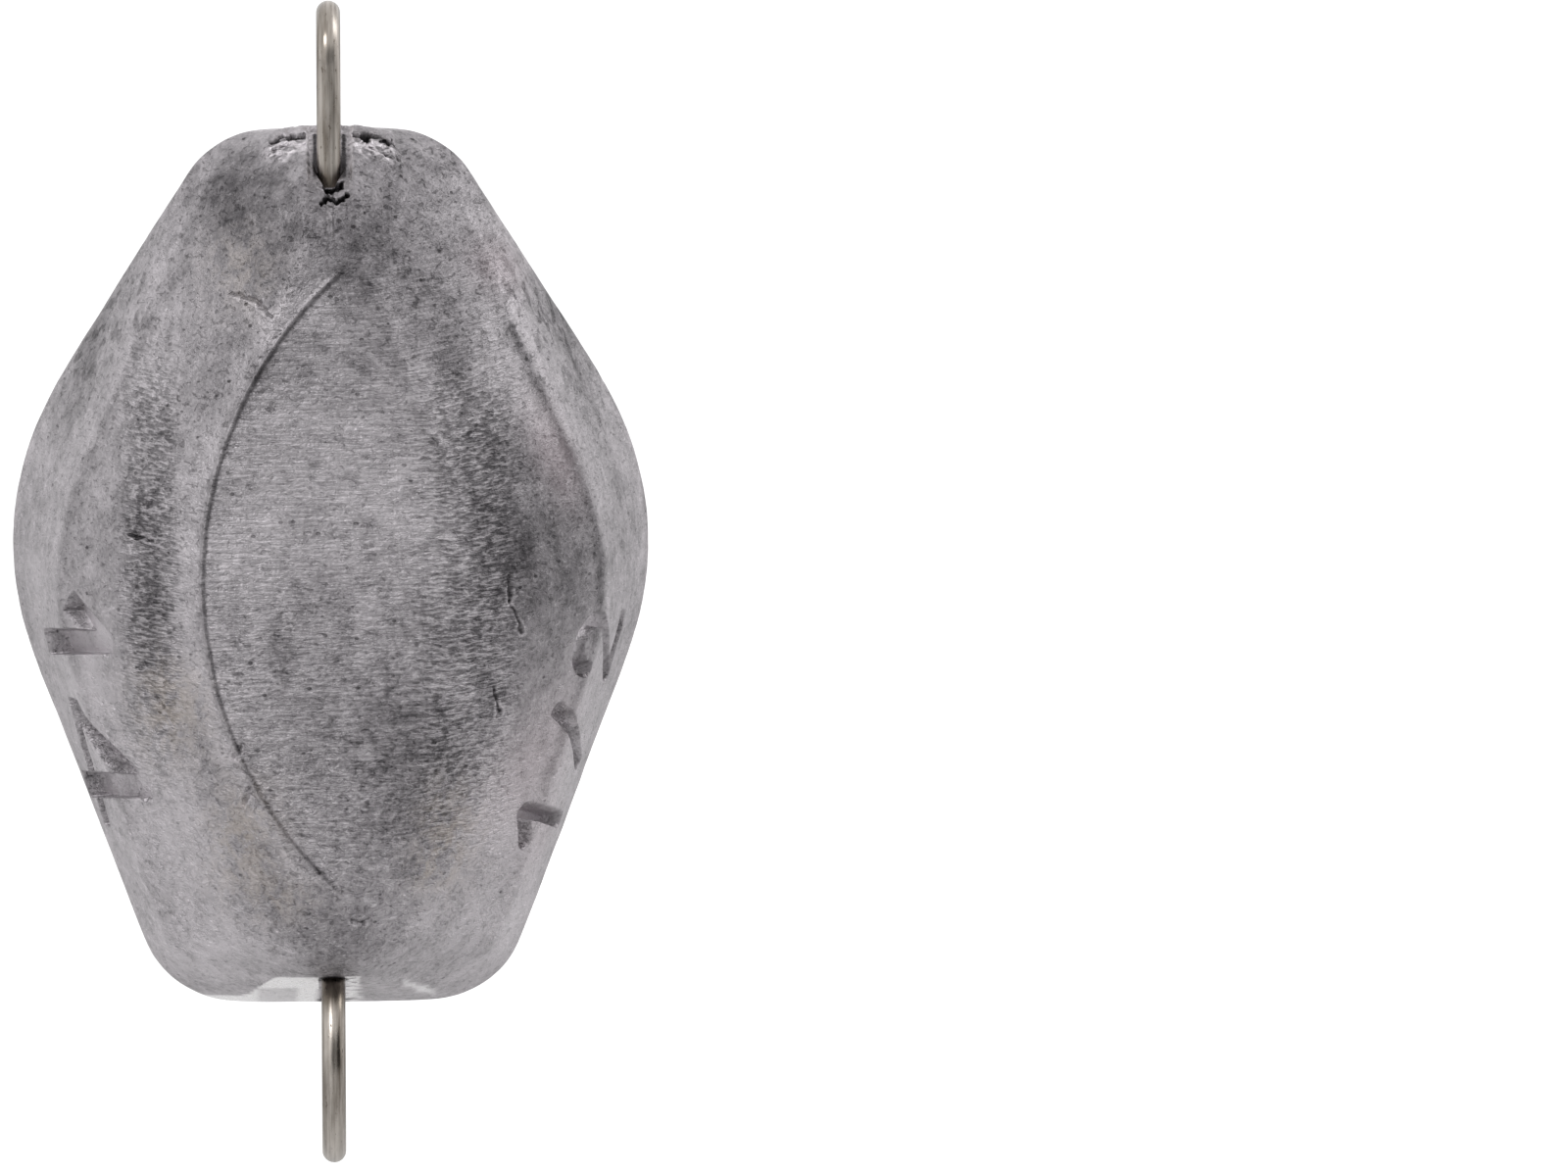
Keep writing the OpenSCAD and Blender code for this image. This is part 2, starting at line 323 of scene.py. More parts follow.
def convex(points):
    """Corners of the convex outline round a set of flat points, anticlockwise."""
    pts = sorted(set(map(tuple, np.round(points, 6))))

    def half(row):
        out = []
        for p in row:
            while len(out) > 1:
                (ax, ay), (bx, by) = out[-2], out[-1]
                if (bx - ax) * (p[1] - ay) - (by - ay) * (p[0] - ax) > 1e-9:
                    break
                out.pop()
            out.append(p)
        return out[:-1]

    return np.array(half(pts) + half(pts[::-1]))


def linked(name, data):
    obj = bpy.data.objects.new(name, data)
    bpy.context.scene.collection.objects.link(obj)
    return obj


def add_attribute(mesh, name, kind, field, values):
    attribute = mesh.attributes.new(name, kind, "POINT")
    attribute.data.foreach_set(field, np.asarray(values, np.float32).ravel())


def mesh_object(name, verts, faces):
    mesh = bpy.data.meshes.new(name)
    mesh.from_pydata([tuple(v) for v in verts], [], [tuple(f) for f in faces])
    mesh.update()
    return linked(name, mesh)


# Lumps of the cast skin: their size, their height and the seed of their noise
SKIN_LUMPS = ((2.4, 0.016, 1), (0.8, 0.008, 2), (0.3, 0.004, 3))

# Parting line down the left edge of the flat face: how far it stands up, and the step beside it
PARTING_H = 0.035
PARTING_W = 0.045
PARTING_STEP = 0.022

# Top of the front, where the slot and the sprue are, by place in the row frame
BROW_HALF = 2.1
BROW_LOW = -4.3
BROW_BACK = 1.3
SLOT_DEEP = 0.08
SLOT_HALF = 0.48
SLOT_X = 0.02
PIT_DEEP = 0.25
CRACK_DEEP = 0.22
SLIT_DEEP = 0.12

# Flat foot with its painted highlight, by how high it looks from the camera
FOOT_HALF = 2.6
FOOT_LEVEL = -20.95

# Dents in the front, each its place across, its height, its radius and its depth
DENTS = [
    (-1.7, 5.75, 0.22, 0.05),
    (-4.25, 0.5, 0.3, 0.06),
    (-2.0, -5.0, 0.35, 0.08),
    (3.95, -1.0, 0.2, 0.07),
    (3.9, 0.1, 0.25, 0.04),
    (2.5, -6.2, 0.5, 0.04),
    (-2.8, -2.2, 0.5, 0.04),
    (0.2, 3.2, 0.35, 0.03),
]

# Torn holes below the slot: bars from one (across, depth) place to another, and their width
PITS = [
    ((-0.02, -1.62), (0.25, -1.58), 0.16),
    ((-0.16, -1.93), (-0.03, -1.76), 0.05),
    ((-0.02, -1.78), (0.14, -1.86), 0.06),
    ((0.16, -1.9), (0.4, -1.76), 0.06),
]

# Nicks in the front: bars from one (across, height) place to another, and their width
NICKS = [
    ((-2.2, 5.92), (-1.62, 5.72), 0.07),
    ((-1.62, 5.72), (-1.32, 5.42), 0.09),
    ((-4.5, 0.52), (-4.0, 0.42), 0.08),
    ((3.98, -0.4), (4.0, -1.0), 0.05),
    ((4.0, -1.0), (4.25, -1.7), 0.05),
    ((3.62, -2.9), (3.72, -3.5), 0.06),
    ((-2.08, -4.15), (-2.14, -4.35), 0.12),
    ((-1.92, -5.05), (-1.98, -5.4), 0.1),
    ((0.45, -8.0), (0.7, -8.1), 0.05),
    ((-3.9, -3.1), (-3.75, -3.3), 0.07),
]

# Weight marks: their strokes are in shares of the height of their digits, reading along the first share
FRACTION_H = 2.5
FRACTION_STROKE = 0.38
NUMBER_H = 2.8
NUMBER_STROKE = 0.58
NUMBER_FALL = 0.2
FRACTION_SHARES = [
    ((0.08, 0.05), (0.25, 1.03)),
    ((0.25, 1.03), (-0.07, 0.86)),
    ((0.63, 0), (1.22, 1)),
    ((2.0, 0.535), (1.47, -0.05)),
    ((1.47, -0.05), (2.05, -0.09)),
]
NUMBER_SHARES = [
    ((0.37, 0), (0.3, 1.05)),
    ((0.3, 1.05), (0.04, 0.66)),
    ((1.6, 0), (1.52, 1.2)),
    ((0.94, 0.3), (1.83, 0.3)),
    ((1.52, 1.2), (0.96, 0.45)),
]
# Bowl of the fraction's 2, and the angles between which it runs
CURL_C = np.array([1.82, 0.69])
CURL_R = 0.24
CURL_ENDS = (170, -40)
# Lean of the body's outline below the belly, in degrees
WAIST_LEAN = 21.37
# Most depth at which a place can belong to a mark, and least distance from the middle
MARK_REACH = 1.3
MARK_OUT = 3

# Darker and lighter patches, partly the lead's own tone and partly painted shade on the bevels and painted
# highlights on the lower corners, then warmer ones: across, height, half width, half height, strength
TONE_AND_SHADE_SPOTS = [
    (-4.05, 0.0, 0.55, 4.0, -0.25),
    (4.3, 0.2, 1.3, 3.2, -0.5),
    (3.2, 1.8, 1.1, 3.4, -0.3),
    (4.6, -3.6, 0.7, 2.0, -0.1),
    (-1.6, 7.9, 1.6, 1.2, -0.4),
    (1.0, 7.2, 1.1, 1.9, -0.5),
    (-0.4, 6.2, 2.2, 1.8, -0.25),
    (2.4, 5.6, 1.2, 1.6, -0.3),
    (-2.6, 3.6, 1.3, 1.6, -0.2),
    (1.2, -3.6, 1.3, 1.8, -0.25),
    (1.6, -6.0, 1.5, 1.2, -0.05),
    (-1.4, -6.6, 1.6, 1.2, -0.05),
    (-0.2, -8.6, 1.0, 0.8, -0.3),
    (-4.2, -6.4, 0.9, 2.2, 0.25),
    (4.3, -7.4, 0.9, 1.8, 0.25),
    (-3.0, -9.0, 1.2, 0.8, 0.35),
    (3.3, -9.0, 1.4, 0.8, 0.35),
    (3.7, 8.0, 1.0, 0.8, 0.1),
    (0.2, 2.4, 1.6, 1.8, 0.2),
    (4.9, -4.6, 0.7, 1.2, 0.35),
    (0.3, 5.6, 1.2, 0.9, 0.3),
    (-4.1, 4.0, 0.7, 1.0, 0.35),
    (3.8, 4.2, 0.7, 1.2, 0.25),
    (-1.5, 0.7, 1.0, 1.3, 0.4),
    (-2.0, -2.6, 1.2, 0.9, 0.25),
    (2.5, -0.2, 0.8, 1.3, 0.25),
    (1.6, 1.2, 1.1, 1.3, 0.3),
    (5.1, 0.7, 0.6, 1.2, -0.3),
    (6.5, 0.5, 0.6, 2.0, -0.2),
    (-2.8, 9.3, 0.8, 0.6, 0.4),
    (-6.8, -1.2, 0.5, 1.8, 0.3),
    (-4.1, -1.0, 0.5, 1.2, -0.15),
    (-5.4, -2.8, 0.7, 1.4, 0.3),
    (-4.4, -4.6, 1.0, 1.2, 0.15),
    (-5.4, -6.0, 0.6, 1.0, -0.15),
    (-2.2, -6.1, 2.2, 1.3, 0.3),
    (3.8, -5.9, 1.0, 1.3, 0.45),
    (5.3, -3.4, 0.7, 2.4, 0.1),
    (5.3, -0.9, 0.5, 1.2, -0.2),
    (2.5, -4.4, 0.9, 0.8, -0.3),
    (-2.8, -8.9, 1.4, 0.9, 0.3),
    (3.8, -8.5, 1.4, 1.2, 0.3),
    (-3.4, -0.4, 0.3, 5.0, 0.1),
]
WARM_SPOTS = [
    (-3.6, -3.4, 0.8, 1.1, 0.8),
    (-2.0, -6.2, 0.8, 1.2, 0.8),
    (-1.2, -7.6, 0.9, 0.5, 0.5),
    (2.6, -6.2, 0.7, 1.1, 0.7),
    (2.1, -7.0, 0.5, 0.4, 0.6),
    (-2.0, 6.4, 0.8, 0.9, 0.4),
]

# The same for the sides, mostly painted shade along the front and back bevels and painted highlights along
# the back edge, with some of the lead's own tone: depth, height, half width, half height, strength. Pink
# is on the right side.
SIDE_LIGHT_AND_SHADE_SPOTS = [
    (0.9, 1.0, 0.4, 2.0, -0.35),
    (1.2, -4.5, 0.5, 3.2, 0.3),
    (3.2, -3.6, 1.0, 3.6, 0.3),
    (2.5, 3.4, 0.7, 2.2, 0.25),
    (4.9, -1.6, 0.6, 3.0, 0.05),
    (2.9, 8.6, 1.3, 0.9, -0.35),
    (4.6, 7.0, 0.7, 1.3, -0.25),
    (3.7, 9.2, 0.8, 0.7, -0.35),
    (3.7, 5.5, 0.5, 1.0, -0.15),
    (4.7, 3.6, 0.6, 1.6, -0.35),
    (2.2, -6.0, 0.9, 1.8, 0.3),
    (5.8, 5.4, 0.9, 1.4, -0.5),
    (7.0, 3.8, 0.4, 1.6, -0.7),
    (8.0, 0.6, 0.5, 1.4, -0.6),
    (7.8, -2.8, 0.3, 2.0, -0.3),
    (5.9, 7.9, 0.5, 0.9, 0.9),
    (6.8, 6.6, 0.4, 0.9, 0.9),
    (7.9, 4.8, 0.45, 1.4, 0.9),
    (9.0, 2.2, 0.5, 2.2, 0.9),
    (8.9, -2.6, 0.6, 3.0, 1.0),
    (8.2, -5.4, 0.6, 2.0, 1.0),
    (7.2, -8.0, 0.7, 1.6, 1.0),
    (5.0, 5.0, 0.7, 1.2, -0.3),
    (2.2, -8.6, 1.2, 0.9, 0.2),
    (0.9, -8.2, 0.8, 1.2, 0.4),
]
PINK_SPOTS = [
    (2.6, 2.2, 0.6, 1.2, 0.7),
    (2.6, -4.8, 1.2, 1.6, 0.8),
    (3.2, 6.4, 0.8, 0.6, 0.7),
    (4.2, -6.6, 0.8, 1.0, 0.5),
]
# Slit in the right side, as (depth, height) places; its dark colour is a reddish stain and painted shade
# in the slit
SLIT = ((6.14, 3.84), (7.54, 1.82))


def lead_planes():
    centre = np.array([0, 4.2, -0.3])
    points = body_points()
    normals, offsets = hull_planes(points, centre)
    key = np.round(np.column_stack([normals * 400, offsets * 80])).astype(int)
    _, first = np.unique(key, axis=0, return_index=True)
    return centre, np.abs(points - centre).max(0), normals[first], offsets[first]


def cast_rays(way, normals, offsets):
    """How far the smooth skin lies from the centre along each direction, and its normal there."""
    reach, out = np.empty(len(way)), np.empty((len(way), 3))
    for i in range(0, len(way), 4000):
        toward = way[i : i + 4000] @ normals.T
        far = np.where(toward > 1e-3, offsets / np.maximum(toward, 1e-3), 1e3)
        near = far.min(1)
        w = np.exp((near[:, None] - far) / EDGE_SOFT)
        total = w.sum(1)
        reach[i : i + 4000] = near - EDGE_SOFT * np.log(total) + EDGE_SOFT * EDGE_FILL
        out[i : i + 4000] = w @ normals
    return reach, out / np.linalg.norm(out, axis=1)[:, None]


def refined(co, quads, fine, crease):
    """Splits the faces whose middle lies in a fine region, and halves those on a crease."""
    bm = bmesh.new()
    verts = [bm.verts.new(c) for c in co]
    faces = [bm.faces.new([verts[i] for i in q]) for q in quads]
    picked = [f for f, on in zip(faces, fine) if on]
    edges = list({e for f in picked for e in f.edges})
    bmesh.ops.subdivide_edges(bm, edges=edges, cuts=FINE_CUTS, use_grid_fill=True)
    halved = [f for f, on in zip(faces, crease & ~fine) if on and f.is_valid and len(f.verts) == 4]
    edges = list({e for f in halved for e in f.edges})
    bmesh.ops.subdivide_edges(bm, edges=edges, cuts=1, use_grid_fill=True)
    return bm


def box_distance(p, a, b, width, extra, rounded=0.0):
    """Distance of flat points outside the bar from a to b, below 0 inside it."""
    a, b = np.asarray(a, float), np.asarray(b, float)
    run = b - a
    length = np.linalg.norm(run)
    along = run / length
    q = p - (a + b) / 2
    u = np.abs(q @ along) - length / 2 - extra + rounded
    v = np.abs(q @ np.array([-along[1], along[0]])) - width / 2 + rounded
    return np.hypot(np.maximum(u, 0), np.maximum(v, 0)) + np.minimum(np.maximum(u, v), 0) - rounded


def curl_distance(p, centre, r, width, start, end):
    q = p - centre
    angle = np.degrees(np.arctan2(q[:, 1], q[:, 0]))
    turned = (angle - end) % 360
    ring = np.abs(np.hypot(q[:, 0], q[:, 1]) - r)
    tips = [np.hypot(*(q - r * normal(t)).T) for t in (start, end)]
    return np.where(turned <= start - end, ring, np.minimum(*tips)) - width / 2


def strokes_distance(p, shares, height, stroke, extra, rounded):
    ends = np.array(shares) * height
    return np.min([box_distance(p, a, b, stroke, extra, rounded) for a, b in ends], axis=0)


def fraction_distance(p):
    bars = strokes_distance(p, FRACTION_SHARES, FRACTION_H, FRACTION_STROKE, 0.12, 0.14)
    curl = curl_distance(p, CURL_C * FRACTION_H, CURL_R * FRACTION_H, FRACTION_STROKE, *CURL_ENDS)
    return np.minimum(bars, curl)


def number_distance(p):
    """The number's feet fall back a little as it reads."""
    level = np.column_stack([p[:, 0], p[:, 1] + p[:, 0] * NUMBER_FALL])
    return strokes_distance(level, NUMBER_SHARES, NUMBER_H, NUMBER_STROKE, 0.27, 0.03)


def mark_frames():
    """For each side: its distance formula, the turn of its drawing, the place of its foot, the
    softness of its strokes, and how much painted light brightens its floor.
    """
    out = []
    for distance, hand, foot_t, low, lean, draft, deep, soft, light in (
        (fraction_distance, 1, 5.5, 6.4, WAIST_LEAN - 1, 16.5, 0.38, 0.08, 1.7),
        (number_distance, -1, 4.6, 1.1, WAIST_LEAN - 4.5, 17, 0.65, 0.03, 1),
    ):
        m = turn(-hand * draft, "Z") @ turn(hand * (lean - 90), "Y") @ turn(180, "X")
        waist = math.radians(WAIST_LEAN)
        side = (BODY_W / 2 - low * math.sin(waist)) / math.cos(waist)
        draft_x = (SIDE_T - foot_t) * (BODY_W - RIM_W) / 2 / (SIDE_T - RIM_T)
        at = np.array([hand * (side - draft_x - deep), foot_t, -low])
        out.append((hand, distance, m, at, soft, light))
    return out


def above_floor(p, hand, m, at):
    """How far places lie outside the floor of a mark, straight across the body, and where over it."""
    deep = hand * ((p - at) @ m[:, 2]) / m[0, 2]
    return deep, (p - np.outer(deep, [hand, 0, 0]) - at) @ m[:, :2]


def turn(angle, axis):
    return np.array(Matrix.Rotation(math.radians(angle), 3, axis))


def lens_left(p):
    """Distance inside the left edge of the flat front face."""
    lens_r, lens_h = lens_size()
    return lens_r - np.hypot(p[:, 0] - (lens_r - FACE_W / 2), p[:, 2] - lens_h)


def front_only(p):
    return fade(p[:, 1], 3.2, 4.0)


def camera_level(row):
    """How high places in the row frame look from the camera."""
    return row[:, 2] * math.cos(ELEVATION) + row[:, 1] * math.sin(ELEVATION)


def needs_fine(p):
    """Where the skin has small shapes: the brow, the parting line, the foot, the marks and the nicks."""
    row = p @ TO_ROW.T + FACE_AT
    around = 0.25
    across = np.abs(p[:, 0])
    out = (across < BROW_HALF) & (row[:, 2] > BROW_LOW - 0.1) & (row[:, 1] < BROW_BACK + 0.4)
    out |= (np.abs(lens_left(p)) < 0.22) & (p[:, 1] < 2.5) & (p[:, 0] < 0.3)
    out |= (across < FOOT_HALF) & (camera_level(row) < FOOT_LEVEL) & (p[:, 1] < 3.4)
    for hand, distance, m, at, *_ in mark_frames():
        deep, q = above_floor(p, hand, m, at)
        out |= (distance(q) < around) & (deep > -0.1) & (deep < MARK_REACH) & (hand * p[:, 0] > MARK_OUT)
    for a, b, w in NICKS:
        out |= (box_distance(p[:, [0, 2]], a, b, w, w / 2) < around) & (p[:, 1] < 4)
    return out


def lead_skin():
    """The smooth skin of the body: its mesh, and the place and the normal of each of its points."""
    centre, half, normals, offsets = lead_planes()
    cube, quads = cube_grid(GRID)
    way = cube * half
    way /= np.linalg.norm(way, axis=1)[:, None]
    reach, out = cast_rays(way, normals, offsets)
    co = centre + way * reach[:, None]
    middle = co[quads].mean(1)
    bend = np.linalg.norm(out[quads].max(1) - out[quads].min(1), axis=1)
    bm = refined(co, quads, needs_fine(middle), bend > CREASE_BEND)
    p = np.array([v.co for v in bm.verts])
    way = p - centre
    way /= np.linalg.norm(way, axis=1)[:, None]
    reach, out = cast_rays(way, normals, offsets)
    return bm, centre + way * reach[:, None], out


def skin_lift(p):
    """Lumps of the cast skin, dents in the front, and the parting line."""
    lift = sum(high * value_noise(p, size, seed) for size, high, seed in SKIN_LUMPS) - SKIN_LUMPS[0][1]
    for px, ph, r, deep in DENTS:
        lift -= deep * front_only(p) * bell(np.hypot(p[:, 0] - px, p[:, 2] - ph), r)
    wavy = lens_left(p) + 0.03 * value_noise(p, 1.3, 5)
    on_line = (p[:, 0] < 0.25) * fade(np.abs(p[:, 2] + 0.5), 6.6, 7.6) * (p[:, 1] < 2)
    step = smoothstep(wavy, 0.0, 0.1) * fade(wavy, 0.15, 0.9)
    return lift + on_line * (PARTING_H * bell(wavy, PARTING_W) - PARTING_STEP * step)


def chip_noise(row):
    return value_noise(row * [1, 2.2, 2.2], 0.16, 16)


def slot_shape(row):
    """Open slot in front of the first leg: its depth, and the torn holes below it."""
    x, y, _ = row.T
    slot = fade(np.abs(x - SLOT_X), SLOT_HALF - 0.04, SLOT_HALF + 0.03)
    slot *= smoothstep(y, -1.7, -1.1) * fade(y, 0.1, 0.4)
    narrow = 0.35 - 0.25 * np.clip((-y - 1.1) / 0.5, 0, 1)
    steps = 0.06 * smoothstep(-y, 0.9, 1.1) + 0.24 * smoothstep(-y, 1.15, 1.26) * fade(-y, 1.3, 1.75)
    trench = fade(np.abs(x), narrow - 0.05, narrow + 0.03) * steps
    torn = np.column_stack([value_noise(row, 0.09, 6), value_noise(row, 0.07, 9)])
    seat = row[:, :2] + 0.045 * torn
    pit = np.max([fade(box_distance(seat, a, b, w, w / 2), -0.03, 0.02) for a, b, w in PITS], axis=0)
    return SLOT_DEEP * slot + trench + PIT_DEEP * pit, pit


def brow_shape(row):
    """Slot and cut stub of the sprue: how far they lift the skin, a mask of painted shade in their holes,
    crack and gaps, and a mask of painted highlight on the burr and the slot's edges.
    """
    x, y, z = row.T
    brow = (z > BROW_LOW) * (y < BROW_BACK)
    slot_deep, pit = slot_shape(row)
    ragged = value_noise(row * [1, 0.6, 0.6], 0.2, 11) + 0.6 * value_noise(row, 0.08, 12)
    wide = np.abs(x - 0.05) + 0.12 * value_noise(row, 0.3, 13)
    # The stub stands up between the legs, clear of the first one
    stub = fade(wide, 1.3, 1.5) * smoothstep(y, -0.55, -0.4) * fade(y + 0.08 * ragged, 0.44, 0.5)
    stub *= 0.04 + 0.11 * smoothstep(y, -0.4, 0.45) + 0.05 * ragged
    stub *= smoothstep(np.hypot(x, y + EYE_R), 0.3, 0.36)
    # A ragged crack runs along its front edge, with chips below it
    line = y + 0.04 - 0.25 * np.maximum(np.abs(x) - 0.6, 0) + 0.14 * ragged
    chips = chip_noise(row)
    thick = (0.13 - 0.11 * smoothstep(np.abs(x), 0.6, 1.5)) * (1 + 0.8 * chips)
    crack = fade(np.abs(line + 0.03 * chips), thick - 0.03, thick + 0.02) * smoothstep(ragged, -0.8, -0.35)
    lower = fade(np.abs(line + 0.3), 0.03, 0.09) * smoothstep(chips, 0.0, 0.2)
    crack = np.maximum(crack, lower) * smoothstep(np.abs(x), 0.5, 0.56) * fade(wide, 1.2, 1.6)
    lift = brow * (stub - slot_deep - CRACK_DEEP * crack)
    # Painted shade: a dark gap round the leg and beside it, and dark ticks along the slot's edges, beside
    # the darkened holes and crack
    gap = bell(np.hypot(x, y + EYE_R) - WIRE_R - 0.02, 0.045) * (y < -0.4)
    gully = bell(np.abs(x - 0.01) - WIRE_R - 0.05, 0.045) * smoothstep(y, -1.45, -1.2) * (y < 0.1)
    edge = bell(np.abs(x - SLOT_X) - SLOT_HALF, 0.03) * smoothstep(y, -1.5, -0.9) * (y < 0.3)
    ticks = (0.5 + 0.5 * np.sin(z * 45 + 3 * ragged)) * np.where(x > 0, 0.25, 0.6)
    dark = np.clip(brow * (pit + crack + 0.8 * gap), 0, 1) + brow * (edge * ticks + 0.9 * gully)
    # Painted highlight on the burr's top below the crack, and on the slot's edges, stronger on the right
    shine = smoothstep(-line, 0.08, 0.16) * fade(-line, 0.45, 0.7) * smoothstep(np.abs(x), 0.4, 0.6)
    burr_highlight = shine * fade(wide, 1.1, 1.7) * smoothstep(chips, -0.6, 0.0) * (1 - crack)
    return lift, dark, brow * (burr_highlight + edge * np.where(x > 0, 0.9, 0.2))


def wire_entry_shade(row):
    """Painted shade: a dark ring round each place where the hook ring's wire enters the foot."""
    x, y, z = row.T
    tube = np.hypot(x, np.hypot(y - ring_c[0], z - ring_c[1]) - RING_R)
    return bell(tube - WIRE_R - 0.03, 0.06) * (z < -15) * smoothstep(chip_noise(row), -0.9, -0.2)


def nick_shape(p):
    """How far the nicks of the front lift the skin, and the masks of painted shade on their floors and a
    painted highlight on their lower lips.
    """
    lift, floor_shading, lips = np.zeros(len(p)), np.zeros(len(p)), np.zeros(len(p))
    torn = p[:, [0, 2]] + 0.05 * value_noise(p, 0.15, 14)[:, None]
    for a, b, w in NICKS:
        near = box_distance(torn, a, b, w, w / 2)
        inside = front_only(p) * fade(near, -0.03, 0.03)
        # Painted highlight on the lower lip, painted shade on the floor
        lip_highlight = front_only(p) * bell(near - 0.05, 0.035) * (p[:, 2] < (a[1] + b[1]) / 2)
        lift += 0.025 * lip_highlight - 0.04 * inside
        floor_shading = np.maximum(floor_shading, inside)
        lips = np.maximum(lips, lip_highlight)
    return lift, floor_shading, lips


def cut_marks(p, skin):
    """Sinks the weight marks into the skin, straight across the body, and gives their masks: painted light
    on their floors, and painted shade on their walls, most on those that face the front.
    """
    floor_shading, wall_shading = np.zeros(len(p)), np.zeros(len(p))
    for hand, distance, m, at, soft, light in mark_frames():
        deep, q = above_floor(skin, hand, m, at)
        q = q + 0.012 * value_noise(p, 0.4, 4)[:, None]
        s = distance(q)
        faces_front = np.clip((s - distance(q + [0, 0.02])) / 0.02, 0, 1)
        on_side = (deep > 0) * (deep < MARK_REACH) * (hand * skin[:, 0] > MARK_OUT)
        inside = fade(s, -soft, 0.03) * on_side
        skin = skin - np.outer(deep * inside, [hand, 0, 0])
        # Painted light on the floors, painted shade on the walls
        floor_shading += inside * smoothstep(-s, 0.0, 0.06) * light
        wall_shading += bell(s, 0.04) * on_side * smoothstep(deep, 0.03, 0.12) * (0.6 + 1.2 * faces_front)
    return skin, floor_shading, wall_shading


def shaped(p, n):
    """Places of the skin with all that the smooth body lacks, and the masks of those shapes."""
    row = p @ TO_ROW.T + FACE_AT
    brow_lift, dark, burr_highlight = brow_shape(row)
    nick_lift, nick_floor_shade, lip_highlight = nick_shape(p)
    lift = skin_lift(p) + brow_lift + nick_lift - SLIT_DEEP * slit_share(p)
    new, floor_shading, wall_shading = cut_marks(p, p + n * lift[:, None])
    # Painted shade: the brow's holes, crack and gaps, and the rings round the wire where it enters the
    # foot
    pit = np.clip(dark + 0.9 * wire_entry_shade(row), 0, 1)
    return new, {"floor": floor_shading, "wall_shade": wall_shading, "nick_floor_shade": nick_floor_shade, "lip_highlight": lip_highlight, "pit": pit, "burr_highlight": burr_highlight}


def lead_body():
    bm, p, n = lead_skin()
    new, masks = shaped(p, n)
    rim = outline_distance(p[:, [0, 2]], rim_outline())
    left = lens_left(p)
    by_lens = (p[:, 1] < 2) * (p[:, 0] < 0.3) * fade(np.abs(p[:, 2] + 0.5), 6.4, 7.4)
    masks.update(
        # Painted light: the lead outside the rim, where the side facets catch the light, is painted
        # lighter
        band=smoothstep(rim, -0.04, 0.12),
        rim_line=rim_line(p, rim) * fade(p[:, 1], 5.0, 6.0),
        ripple=ripple(p),
        # Painted shadow: a dark line beside the parting line's ridge, inside the flat face
        parting=by_lens * bell(left - 0.06, 0.05),
        stripe=by_lens * bell(left + 0.28, 0.2),
        # Painted shade and highlights mixed with the lead's own tone on the front
        tone=front_spots(p, TONE_AND_SHADE_SPOTS),
        warm=front_spots(p, WARM_SPOTS),
        # Painted shade and highlights on the sides' bevels, with some of the lead's own tone
        side=side_spots(p, n, SIDE_LIGHT_AND_SHADE_SPOTS),
        pink=np.clip(side_spots(p, n, PINK_SPOTS), 0, 1) * (p[:, 0] > 0),
        slit=slit_share(p),
        leopard=leopard_share(p),
        worn=worn_share(p),
        machined=machined(p),
        # Painted highlight on the flat foot
        foot=foot_highlight_share(p, n),
    )
    for v, co in zip(bm.verts, np.clip(to_row(new), cad_low, cad_high)):
        v.co = co
    bmesh.ops.recalc_face_normals(bm, faces=bm.faces)
    for f in bm.faces:
        f.smooth = True
    mesh = bpy.data.meshes.new("sinker_body")
    bm.to_mesh(mesh)
    bm.free()
    for name, value in masks.items():
        add_attribute(mesh, name, "FLOAT", "value", value)
    return linked("sinker_body", mesh)


def foot_highlight_share(p, n):
    """Painted highlight where the flat foot catches the light: a crescent left of the ring, and torn bits
    right of it.
    """
    row = p @ TO_ROW.T + FACE_AT
    x, level = row[:, 0], camera_level(row)
    down = smoothstep(-(n @ TO_ROW.T)[:, 2], 0.35, 0.7)
    rough = value_noise(p, 0.16, 15)
    left = (x < -0.33) * fade(level + 0.45 * smoothstep(-x, 1.2, 2.1), -21.24, -21.2)
    grey = smoothstep(-x, 0.75, 0.85) * fade(-x, 1.6, 1.8) * fade(level, -21.52, -21.46)
    torn = (x > 0.27) * fade(x + 0.1 * rough, 0.5, 0.7) * smoothstep(rough, -0.4, 0.1)
    wisp = bell(level + 21.5 + 0.35 * (x - 1.9) + 0.05 * rough, 0.07) * smoothstep(x, 1.5, 1.7)
    right = torn * (level < -21.2) + 0.8 * wisp * fade(x, 2.1, 2.4)
    return np.clip(down * (left * (1 - 0.6 * grey) + right), 0, 1)


def spots(u, v, places):
    """Sum of soft spots at (u, v) places, each with its half widths and its strength."""
    out = np.zeros(len(u))
    for a, b, ra, rb, strength in places:
        out += strength * np.exp(-(((u - a) / ra) ** 2) - ((v - b) / rb) ** 2)
    return np.clip(out, -1, 1)


def front_spots(p, places):
    return spots(p[:, 0], p[:, 2], places) * fade(p[:, 1], 3.8, 6.8)


def side_spots(p, n, places):
    on_side = smoothstep(np.abs(n[:, 0]), 0.05, 0.4) * smoothstep(p[:, 1], 0.6, 1.6)
    return spots(p[:, 1], p[:, 2], places) * on_side


def slit_share(p):
    torn = p[:, 1:] + 0.11 * np.column_stack([value_noise(p, 0.3, 17), value_noise(p, 0.22, 18)])
    near = box_distance(torn, *SLIT, 0.18, 0.0, 0.09)
    broken = 0.65 + 0.35 * smoothstep(value_noise(p, 0.2, 19), -0.5, 0.1)
    return fade(near, -0.03, 0.09) * broken * (p[:, 0] > 2)


def worn_share(p):
    """The lower front and its bevels are worn by small knocks."""
    return smoothstep(-p[:, 2], 2.5, 5.0) * fade(p[:, 1], 4.0, 6.0)


